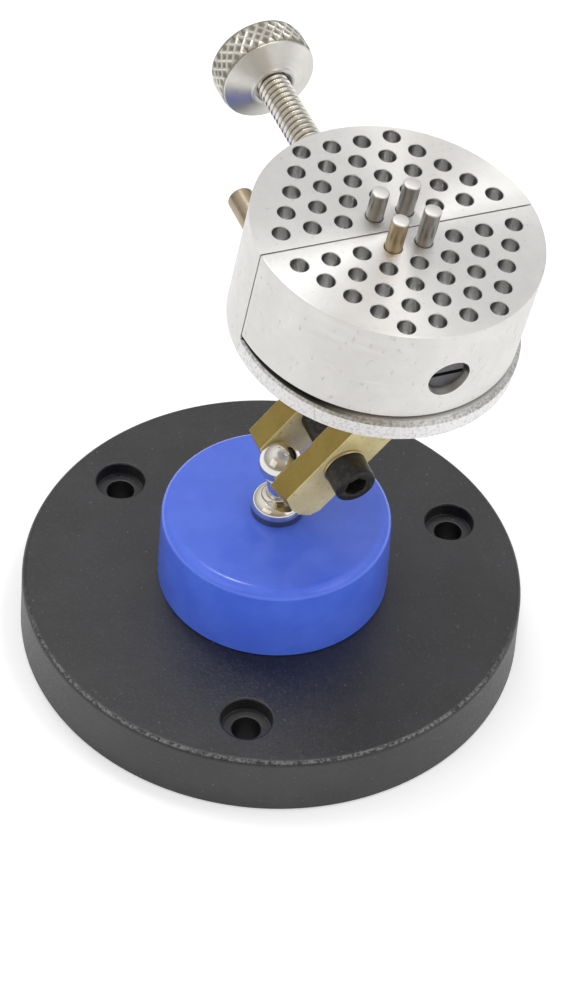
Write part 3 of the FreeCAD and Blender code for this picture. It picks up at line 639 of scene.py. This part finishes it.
def clamp_bar(name, side):
    """One plate on its side of the balls, in the arm's own directions."""
    outline = [(-x, side * GAP / 2, z) for x, z in left_corners]
    outline += [(SPAN + x, side * GAP / 2, z) for x, z in reversed(left_corners)]
    bar = draw_line(name, outline)
    bpy.ops.mesh.edge_face_add()
    bpy.ops.mesh.select_all(action="SELECT")
    bpy.ops.mesh.extrude_region_move(TRANSFORM_OT_translate={"value": (0, side * BAR * MM, 0)})
    bpy.ops.mesh.select_all(action="SELECT")
    bpy.ops.mesh.normals_make_consistent(inside=False)
    if side < 0:
        choose(bar, "verts", lambda v: v.co.x < -1 * MM and v.co.z > 2 * MM and abs(v.co.y) < 5 * MM)
        bpy.ops.transform.translate(value=(-ASKEW * MM, 0, 0))
    bpy.ops.object.mode_set(mode="OBJECT")
    soften(bar, 0.22, 2)
    for x in (0, SPAN):
        bpy.ops.mesh.primitive_uv_sphere_add(segments=64, ring_count=32, radius=(BALL + 0.05) * MM,
                                             location=(x * MM, 0, 0))
        cut_away(bar, bpy.context.object)
    bpy.ops.mesh.primitive_cylinder_add(vertices=48, radius=2.55 * MM, depth=30 * MM,
                                        rotation=(math.pi / 2, 0, 0),
                                        location=(SPAN / 2 * MM, 0, SCREW_LEVEL * MM))
    cut_away(bar, bpy.context.object)
    carry(bar, ARM)
    shade(bar)
    return bar


hand_over(clamp_bar("brass_bar_near", -1), "arm", brass, "brass", "clamp_plate_near")
hand_over(clamp_bar("brass_bar_far", 1), "arm", brass, "brass", "clamp_plate_far")

# %% [markdown]
# ## Clamp screw
# A socket head cap screw squeezes the plates. Its head has a rounded outer edge and a hexagon
# socket with a small countersink, which reads as a pale ring round a black hole. The head is
# turned, and a six-sided cutter makes the socket. A thin washer spares the brass under it.

# %% Clamp screw
WASHER = 0.6
TOWARDS = Matrix.Rotation(math.pi / 2, 4, "X")
clamp_at = Vector((SPAN / 2, -GAP / 2 - BAR - WASHER, SCREW_LEVEL)) * MM
CLAMP_LINE = ARM @ Matrix.Translation(clamp_at) @ TOWARDS
screw_section = [(0, -19.9), (2.1, -19.9), (2.5, -19.5), (2.5, 0), (3.95, 0), (4.1, 0.15), (4.1, 4.35)]
screw_section += arc(3.6, 4.5, 0.5, 0, 90, 5) + [(2.62, 5.0), (2.45, 4.85), (0, 4.85)]
cap_screw = turned("socket_cap_screw", screw_section, 72)
KEY, SOCKET_FLOOR, CUT = 4.0, 2.4, 6
bpy.ops.mesh.primitive_cylinder_add(vertices=6, radius=KEY / math.sqrt(3) * MM, depth=CUT * MM,
                                    location=(0, 0, (SOCKET_FLOOR + CUT / 2) * MM))
cut_away(cap_screw, bpy.context.object)
carry(cap_screw, CLAMP_LINE)
shade(cap_screw)
hand_over(cap_screw, "clamp", black_oxide, "black_screw", "clamp_screw")

# %% Washer under the clamp screw's head
washer_section = [(2.55, -WASHER), (4.2, -WASHER), (4.35, 0.15 - WASHER), (4.35, -0.15), (4.2, 0)]
washer_section += [(2.55, 0), (2.55, -WASHER)]
washer = turned("clamp_screw_washer", washer_section, 72)
carry(washer, CLAMP_LINE)
shade(washer)
hand_over(washer, "arm", warm_washer, "zinc_steel", "clamp_washer")

# %% [markdown]
# ## Head post
# The head sits on its own stud: a flange under the disc, a cone, a neck and the second ball
# between the plates. From the front the disc hides it, but it shows from the side and below.

# %% Head post
POST_BALL = -43.2
post_section = arc(0, POST_BALL, BALL, -90, 90 - math.degrees(math.asin(MEETING / BALL)), 26)
post_section[0] = (0, POST_BALL - BALL)
post_section += [(2.42, -39.5), (NECK, -38.9), (NECK, -31.6), (2.5, -31.1), (5.35, -28.6)]
post_section += [(5.6, -28.35), (5.6, -25.1), (5.4, -24.87), (3.5, -24.87), (3.5, -21.1), (0, -21.1)]
post = turned("head_post", post_section, 96)
carry(post, HEAD)
shade(post, 40)
hand_over(post, "pivot", chrome, "chrome", "head_stud")

# %% [markdown]
# ## Jaws
# The head is one turned steel drum, sawn in two. The far half stays on the disc under it, and
# the near half slides. Both tops are drilled with five rows of blind holes. A cylinder is cut
# to a half, its edges are broken, and one drill shape, copied to every place, cuts the holes.
# The disc's edge in front gets a wider chamfer, which is what catches the light there.

# %% A drum and its drills
JAW, JAW_HEIGHT, KERF = 27.4, 20.4, 0.7
drill_section = [(0, -7.95), (1.7, -7.0), (1.7, -0.10), (1.8, 0.01), (1.8, 0.6), (0, 0.6)]


def drum(name, height, offset):
    """A whole cylinder that hangs from the level of the jaws' tops."""
    bpy.ops.mesh.primitive_cylinder_add(vertices=224, radius=JAW * MM, depth=height * MM,
                                        location=(0, offset * MM, -height / 2 * MM))
    piece = bpy.context.object
    piece.name = name
    carry(piece, Matrix())
    return piece


def work_holes(side):
    """The joined drills of one jaw: rows along the split, one hole fewer in each."""
    first = turned("drill", drill_section, 40)
    drills = []
    for row in range(5):
        for index in range(8 - row):
            pick_up(first)
            bpy.ops.object.duplicate(linked=False)
            copy = bpy.context.object
            sideways = (index - (7 - row) / 2) * HOLE_STEP
            copy.location = (sideways * MM, side * (FIRST_ROW + ROW_STEP * row) * MM, 0)
            drills.append(copy)
    bpy.data.objects.remove(first, do_unlink=True)
    bpy.ops.object.select_all(action="DESELECT")
    for drill in drills:
        drill.select_set(True)
    bpy.context.view_layer.objects.active = drills[0]
    bpy.ops.object.join()
    bpy.ops.object.transform_apply(location=True)
    return bpy.context.object


def bore(x, radius, near, far):
    """A cutter along the sliding direction at the screw's level, from one depth to another."""
    cutter = turned("bore_cutter", [(0, near), (radius, near), (radius, far), (0, far)], 48)
    carry(cutter, Matrix.Translation((x * MM, 0, -SCREW_DROP * MM)) @ AWAY)
    return cutter


print("drills per jaw:", sum(8 - row for row in range(5)))

# %% Near jaw
ROD_AT, ROD, HALF_SPLIT = 18.6, 2.5, 0.05
near_jaw = drum("near_jaw", JAW_HEIGHT, KERF)
bpy.ops.object.mode_set(mode="EDIT")
bpy.ops.mesh.select_all(action="SELECT")
bpy.ops.mesh.bisect(plane_co=(0, -HALF_SPLIT * MM, 0), plane_no=(0, 1, 0), use_fill=True,
                    clear_outer=True)
bpy.ops.object.mode_set(mode="OBJECT")
soften(near_jaw, 0.28, 2)
cut_away(near_jaw, work_holes(-1))
cut_away(near_jaw, bore(0, 4.05, -40, -23.4))
cut_away(near_jaw, bore(0, 2.55, -30, 1))
for x in (-ROD_AT, ROD_AT):
    cut_away(near_jaw, bore(x, ROD, -12, 1))
    grub = turned("grub_cutter", [(0, -21), (1.5, -21), (1.5, -13), (0, -13)], 32)
    carry(grub, Matrix.Translation((x * MM, -6 * MM, 0)))
    cut_away(near_jaw, grub)
carry(near_jaw, HEAD)
shade(near_jaw)
hand_over(near_jaw, "slider", jaw_steel, "jaw_steel", "moving_jaw")

# %% Far jaw and disc
DISC_TOP, DISC = JAW_HEIGHT + 0.5, 3.9
ROOM_WIDE, ROOM_DEEP, ROOM_HIGH = 80, 60, 30
far_jaw = drum("far_jaw_and_disc", DISC_TOP + DISC, -KERF)
room_at = (0, (HALF_SPLIT - ROOM_DEEP / 2) * MM, (ROOM_HIGH / 2 - DISC_TOP) * MM)
bpy.ops.mesh.primitive_cube_add(size=1, location=room_at)
room = bpy.context.object
room.scale = (ROOM_WIDE * MM, ROOM_DEEP * MM, ROOM_HIGH * MM)
cut_away(far_jaw, room)


def on_disc_edge(vertex):
    """Whether the vertex is on the disc's upper edge in front."""
    level = abs(vertex.co.z + DISC_TOP * MM) < 0.01 * MM
    return level and vertex.co.y < 0 and vertex.co.xy.length > 25 * MM


bpy.ops.object.mode_set(mode="EDIT")
choose(far_jaw, "edges", lambda edge: all(on_disc_edge(vertex) for vertex in edge.verts))
bpy.ops.mesh.bevel(offset=0.8 * MM, segments=1)
bpy.ops.object.mode_set(mode="OBJECT")
soften(far_jaw, 0.28, 2)
cut_away(far_jaw, work_holes(1))
cut_away(far_jaw, bore(0, 3.2, -1, 40))
for x in (-ROD_AT, ROD_AT):
    cut_away(far_jaw, bore(x, ROD + 0.05, -1, 40))
pivot_room = [(0, -26), (3.55, -26), (3.55, -22.1), (6.4, -22.1), (6.4, -20.6), (0, -20.6)]
cut_away(far_jaw, turned("pivot_cutter", pivot_room, 64))
carry(far_jaw, HEAD)
shade(far_jaw)
hand_over(far_jaw, "head", jaw_steel, "jaw_steel", "fixed_jaw")

# %% [markdown]
# ## Guide rods
# Two ground rods, fixed in the near jaw, slide through the far one and show at its back. They
# are plain, so their whole character is a turned end with a small round.

# %% Guide rods
ROD_END, END_ROUND = 24.6, 0.45
rod_section = [(0, -12), (ROD, -12), (ROD, ROD_END - END_ROUND)]
rod_section += arc(ROD - END_ROUND, ROD_END - END_ROUND, END_ROUND, 0, 90, 4) + [(0, ROD_END)]
for name, x in (("guide_rod_left", -ROD_AT), ("guide_rod_right", ROD_AT)):
    rod = turned(name + "_ground", rod_section, 48)
    carry(rod, SCREW_LINE @ Matrix.Translation((x * MM, 0, 0)))
    shade(rod)
    hand_over(rod, "slider", rod_steel, "rod_steel", name)

# %% [markdown]
# ## Lead screw
# The thread is the part of the vise that the light plays on most. Stacked rings would pass from
# far off, but a real thread climbs, so one tooth is drawn and the Screw modifier winds it along
# the axis. Both ends are cut square, and a plain journal goes on into the near jaw.

# %% Lead screw
CREST, ROOT, PITCH = 3.15, 2.45, 1.27
THREAD_START, THREAD_END, TURNS = 1.5, 53.0, 44
flank = [(ROOT, 0), (2.62, 0.12), (3.0, 0.36), (3.12, 0.46)]
tooth = flank + [(CREST, 0.56)] + [(radius, 1.12 - height) for radius, height in reversed(flank)]
tooth += [(ROOT, PITCH)]
thread = draw_line("lead_screw_thread", [(radius, 0, height) for radius, height in tooth])
bpy.ops.object.mode_set(mode="OBJECT")
bpy.ops.object.modifier_add(type="SCREW")
wind = thread.modifiers[-1]
wind.axis, wind.angle, wind.screw_offset = "Z", 2 * math.pi, PITCH * MM
wind.iterations = TURNS
wind.steps = wind.render_steps = 40
wind.use_merge_vertices, wind.merge_threshold = True, 0.002 * MM
bpy.ops.object.modifier_apply(modifier=wind.name)
bpy.ops.object.mode_set(mode="EDIT")
for height, side in ((THREAD_START, -1), (THREAD_END, 1)):
    bpy.ops.mesh.select_all(action="SELECT")
    bpy.ops.mesh.remove_doubles(threshold=0.002 * MM)
    bpy.ops.mesh.bisect(plane_co=(0, 0, height * MM), plane_no=(0, 0, side), use_fill=True,
                        clear_outer=True)
bpy.ops.mesh.select_all(action="SELECT")
bpy.ops.mesh.normals_make_consistent(inside=False)
bpy.ops.object.mode_set(mode="OBJECT")
print("thread faces:", len(thread.data.polygons))

# %% Journal and core of the lead screw
JOURNAL_END, SCREW_END = -23.45, 59.2
journal_section = [(0, JOURNAL_END), (2.5, JOURNAL_END), (2.5, 0), (2.4, 0.3), (2.4, 52.6)]
journal_section += [(CREST, 52.6), (CREST, SCREW_END - 0.3), (2.85, SCREW_END), (0, SCREW_END)]
journal = turned("lead_screw_core", journal_section, 64)
bpy.ops.object.select_all(action="DESELECT")
thread.select_set(True)
journal.select_set(True)
bpy.context.view_layer.objects.active = thread
bpy.ops.object.join()
spindle = bpy.context.object
carry(spindle, SCREW_LINE)
shade(spindle, 40)
hand_over(spindle, "drive", thread_steel, "thread_steel", "lead_screw")

# %% [markdown]
# ## Knob
# The knob has a broad conical face, a turned nose round the screw and a rim with a diamond
# knurl. The knurl could be a bump pattern, but it breaks the outline against the background, so
# it is real: every second point of a fine grid stands out, which gives rows of small pyramids.

# %% Knob
FRONT, RIM_AT, BACK = 50.8, 53.2, 60.0
AROUND, ROWS = 28, 5
LAST = BACK - 0.55
GRID_START = RIM_AT + 0.1
CELL = (LAST - GRID_START) / ROWS
LOW, HIGH = 9.22, 9.68
GRID = LOW + 0.1
NOSE, NOSE_FOOT, RECESS_FLOOR = 4.6, FRONT + 0.28, FRONT + 1.6
knob_section = [(CREST, RECESS_FLOOR), (3.7, RECESS_FLOOR), (3.7, FRONT + 0.15), (3.9, FRONT)]
knob_section += [(4.3, FRONT), (4.5, FRONT + 0.1), (NOSE, NOSE_FOOT)]
knob_section += [(NOSE + 4.6 * step / 9, NOSE_FOOT + 2.1 * step / 9) for step in range(1, 10)]
knob_section += [(GRID, GRID_START + CELL * step) for step in range(ROWS + 1)]
knob_section += [(8.75, BACK - 0.15), (8.4, BACK), (5.2, BACK), (4.9, BACK - 0.25)]
knob_section += [(CREST, BACK - 0.25), (CREST, RECESS_FLOOR)]
knob = turned("knurled_knob", knob_section, 2 * AROUND)


def on_grid(vertex):
    """The sum of the vertex's row and turn in the knurl's grid, or None outside the grid."""
    row = round((vertex.co.z / MM - GRID_START) / CELL)
    if vertex.co.xy.length < (LOW - 0.05) * MM or not 0 < row < ROWS:
        return None
    return row + round(math.atan2(vertex.co.y, vertex.co.x) / (math.pi / AROUND))


def in_knurl(face):
    """Whether the face is one of the grid's four-cornered faces."""
    middle = face.calc_center_median()
    return len(face.verts) == 4 and middle.xy.length > 9.0 * MM and RIM_AT * MM < middle.z < LAST * MM


bpy.ops.object.mode_set(mode="EDIT")
center = (0, 0, (RIM_AT + BACK) / 2 * MM)
for odd, radius in ((0, HIGH), (1, LOW)):
    choose(knob, "verts", lambda vertex: on_grid(vertex) is not None and on_grid(vertex) % 2 == odd)
    bpy.ops.transform.resize(value=(radius / GRID, radius / GRID, 1), center_override=center)
choose(knob, "faces", in_knurl)
bpy.ops.mesh.quads_convert_to_tris(quad_method="LONGEST_DIAGONAL")
bpy.ops.object.mode_set(mode="OBJECT")
carry(knob, SCREW_LINE)
shade(knob, 20)
hand_over(knob, "drive", knob_steel, "knob_steel", "knob")
print("knurl cells:", AROUND * ROWS)

# %% [markdown]
# ## Retaining screw
# A slotted screw sits deep in the near jaw's side and keeps the lead screw from pulling out. It
# is darker than the jaw and its slot is black with shadow.

# %% Retaining screw
SLOT, HEAD_DEEP = 0.9, 1.8
retainer_section = [(0, 6.5), (1.5, 6.5), (1.5, 0), (3.6, 0), (3.7, -0.1), (3.7, 0.3 - HEAD_DEEP)]
retainer_section += [(3.4, -HEAD_DEEP), (0, -HEAD_DEEP)]
retainer = turned("slotted_retaining_screw", retainer_section, 64)
bpy.ops.mesh.primitive_cube_add(size=1, location=(0, 0, -HEAD_DEEP * MM))
slot_cutter = bpy.context.object
slot_cutter.scale = (10 * MM, SLOT * MM, HEAD_DEEP * MM)
cut_away(retainer, slot_cutter)
carry(retainer, SCREW_LINE @ Matrix.Translation((0, 0, JOURNAL_END * MM)))
shade(retainer)
hand_over(retainer, "drive", dark_screw, "zinc_steel", "retaining_screw")

# %% [markdown]
# ## Work pins
# Four plain pins stand in the middle holes and hold small work. Their ends are ground flat with a broken edge, and
# their paler tone is partly the bright ground steel and partly a painted highlight. They stick out by different
# amounts, and the near left one is warmer in colour, so each pin has a finish of its own.

# %% Work pins
PIN, PIN_FOOT, PIN_ROUND = 1.625, 7, 0.32
GREY_PIN, WARM_PIN = (0.42, 0.41, 0.40), (0.52, 0.41, 0.26)
pins = {"far_left": (-1, 1, 13.0, GREY_PIN), "far_right": (1, 1, 13.8, GREY_PIN),
        "near_right": (1, -1, 14.8, GREY_PIN), "near_left": (-1, -1, 13.8, WARM_PIN)}
for name, (x, y, length, color) in pins.items():
    top = length - PIN_FOOT
    pin_section = [(0, -PIN_FOOT), (PIN - 0.2, -PIN_FOOT), (PIN, 0.2 - PIN_FOOT), (PIN, top - PIN_ROUND)]
    pin_section += arc(PIN - PIN_ROUND, top - PIN_ROUND, PIN_ROUND, 0, 80, 4) + [(0, top)]
    pin = turned("pin_" + name, pin_section, 40)
    pin_top = HEAD @ Matrix.Translation((x * HOLE_STEP / 2 * MM, y * FIRST_ROW * MM, top * MM))
    carry(pin, pin_top @ Matrix.Translation((0, 0, -top * MM)))
    shade(pin)
    finish = steel("pin_steel_" + name, color, 0.34, 1.6, 0.001)
    height = measured_from(finish.node_tree, pin_top)[2]
    # Painted highlight: the flat end of each pin gets a paler tone than its sides.
    end = where(finish.node_tree, (height, -0.22, FAR, 0.08))
    laid_over(finish, end, (0.84, 0.82, 0.79), 0.36)
    hand_over(pin, "pin_" + name, finish, "pin_steel", "work_pin_" + name)

# %% [markdown]
# ## Parts that keep their CAD shape
# Nuts, bushes, clips and set screws are right as they come from the CAD: they are small or sit
# inside. They only need the finish that the real ones have, so each gets a material.

# %% Finishes for the rest
kept = {"hub_core": bush_steel, "stud_washer": zinc_steel, "stud_nut": zinc_steel,
        "stud_clip": zinc_steel, "clamp_sleeve": black_oxide, "rod_grub_left": black_oxide,
        "rod_grub_right": black_oxide, "knob_grub": black_oxide}
for name, finish in kept.items():
    part = frame["nodes"][name]
    part.data.materials.clear()
    part.data.materials.append(finish)
print("kept CAD parts:", len(kept))

# %% [markdown]
# ## Floor, light and camera
# The vise stands on a plain pale floor under soft lamps. The camera stands where the real one
# stood: above and in front, with a long lens, which keeps the base's ellipse and the head's
# tilt true. Metals mirror what is round them. A sky of one white would make them flat, so the sky
# that they mirror is darker near the horizon and has a soft tan patch in front, as a room would.
# The two small lamps overhead make the bright wedges on the turned jaws.

# %% Floor
bpy.ops.object.select_all(action="DESELECT")
bpy.ops.mesh.primitive_plane_add(size=6, location=(0, 0, -0.0002))
floor = bpy.context.object
floor.name = "floor"
pale, tree, shader = new_finish("pale_floor", (0.90, 0.90, 0.90), 0.0, 0.8)
shader.inputs["Specular IOR Level"].default_value = 0.0
SEEN_GLOW, MIRRORED_GLOW = 0.34, 0.18
rays = add_node(tree, "ShaderNodeLightPath")
lift = add_node(tree, "ShaderNodeMath", {"operation": "MULTIPLY"})
lift.inputs[1].default_value = SEEN_GLOW
tree.links.new(rays.outputs["Is Camera Ray"], lift.inputs[0])
mirror_lift = add_node(tree, "ShaderNodeMath", {"operation": "MULTIPLY_ADD"})
mirror_lift.inputs[1].default_value = MIRRORED_GLOW
tree.links.new(rays.outputs["Is Glossy Ray"], mirror_lift.inputs[0])
tree.links.new(lift.outputs["Value"], mirror_lift.inputs[2])
tree.links.new(mirror_lift.outputs["Value"], shader.inputs["Emission Strength"])
shader.inputs["Emission Color"].default_value = (1, 1, 1, 1)
floor.data.materials.append(pale)
print("floor ready")

# %% World
TAN_SIDE, TAN = (-0.03, -0.72, 0.69), (0.60, 0.52, 0.40)
world = bpy.data.worlds.new("studio")
bpy.context.scene.world = world
world.use_nodes = True
tree = world.node_tree
sky = tree.nodes["Background"]
rays = add_node(tree, "ShaderNodeLightPath")
view = add_node(tree, "ShaderNodeTexCoord")
height = add_node(tree, "ShaderNodeSeparateXYZ")
tree.links.new(view.outputs["Generated"], height.inputs["Vector"])
light = spread(tree, height.outputs["Z"], 0.1, 0.85, 0.42, 0.86)
for ray, level in (("Is Diffuse Ray", 0.76), ("Is Camera Ray", 1.0)):
    pick = add_node(tree, "ShaderNodeMix", {"data_type": "FLOAT"})
    pick.inputs[3].default_value = level
    tree.links.new(rays.outputs[ray], pick.inputs[0])
    tree.links.new(light, pick.inputs[2])
    light = pick.outputs[0]
tree.links.new(light, sky.inputs["Strength"])
toward = add_node(tree, "ShaderNodeVectorMath", {"operation": "DOT_PRODUCT"})
toward.inputs[1].default_value = TAN_SIDE
tree.links.new(view.outputs["Generated"], toward.inputs[0])
room = times(tree, spread(tree, toward.outputs["Value"], 0.62, 0.92), rays.outputs["Is Glossy Ray"])
tree.links.new(blend_colors(tree, room, (1, 1, 1), TAN), sky.inputs["Color"])
print("sky ready")

# %% Lamps
AIM = (0, 0, 0.06)


def softbox(name, at, size, power):
    """A square lamp of this size in metres, turned towards the middle of the vise."""
    lamp = bpy.data.lights.new(name, "AREA")
    lamp.shape, lamp.size, lamp.energy = "SQUARE", size, power
    holder = bpy.data.objects.new(name, lamp)
    bpy.context.scene.collection.objects.link(holder)
    holder.location = at
    holder.rotation_euler = (Vector(AIM) - Vector(at)).to_track_quat("-Z", "Y").to_euler()


softbox("overhead_left", (-0.17, 0.31, 1.08), 0.20, 1.35)
softbox("overhead_right", (0.32, 0.08, 1.09), 0.15, 0.85)
softbox("front_left", (-0.9, -0.9, 0.8), 0.9, 1.2)
softbox("front_right", (1.0, -0.7, 0.6), 0.8, 1.2)
print("lamps:", len(bpy.data.lights))

# %% Camera
CAMERA_AT = Vector((0.65, -383.12, 422.20)) * MM
TILT, ROLL, PAN = 44.4965, -3.1679, 2.8972
lens = bpy.data.cameras.new("camera")
lens.sensor_fit, lens.sensor_width = "AUTO", 36
lens.lens = 100.63
lens.clip_start, lens.clip_end = 0.01, 20
camera = bpy.data.objects.new("camera", lens)
bpy.context.scene.collection.objects.link(camera)
camera.location = CAMERA_AT
camera.rotation_euler = Euler([math.radians(angle) for angle in (TILT, ROLL, PAN)])
bpy.context.scene.camera = camera
bpy.context.scene.view_settings.view_transform = "Standard"
print("camera is", round(CAMERA_AT.length, 2), "m from the base's middle")
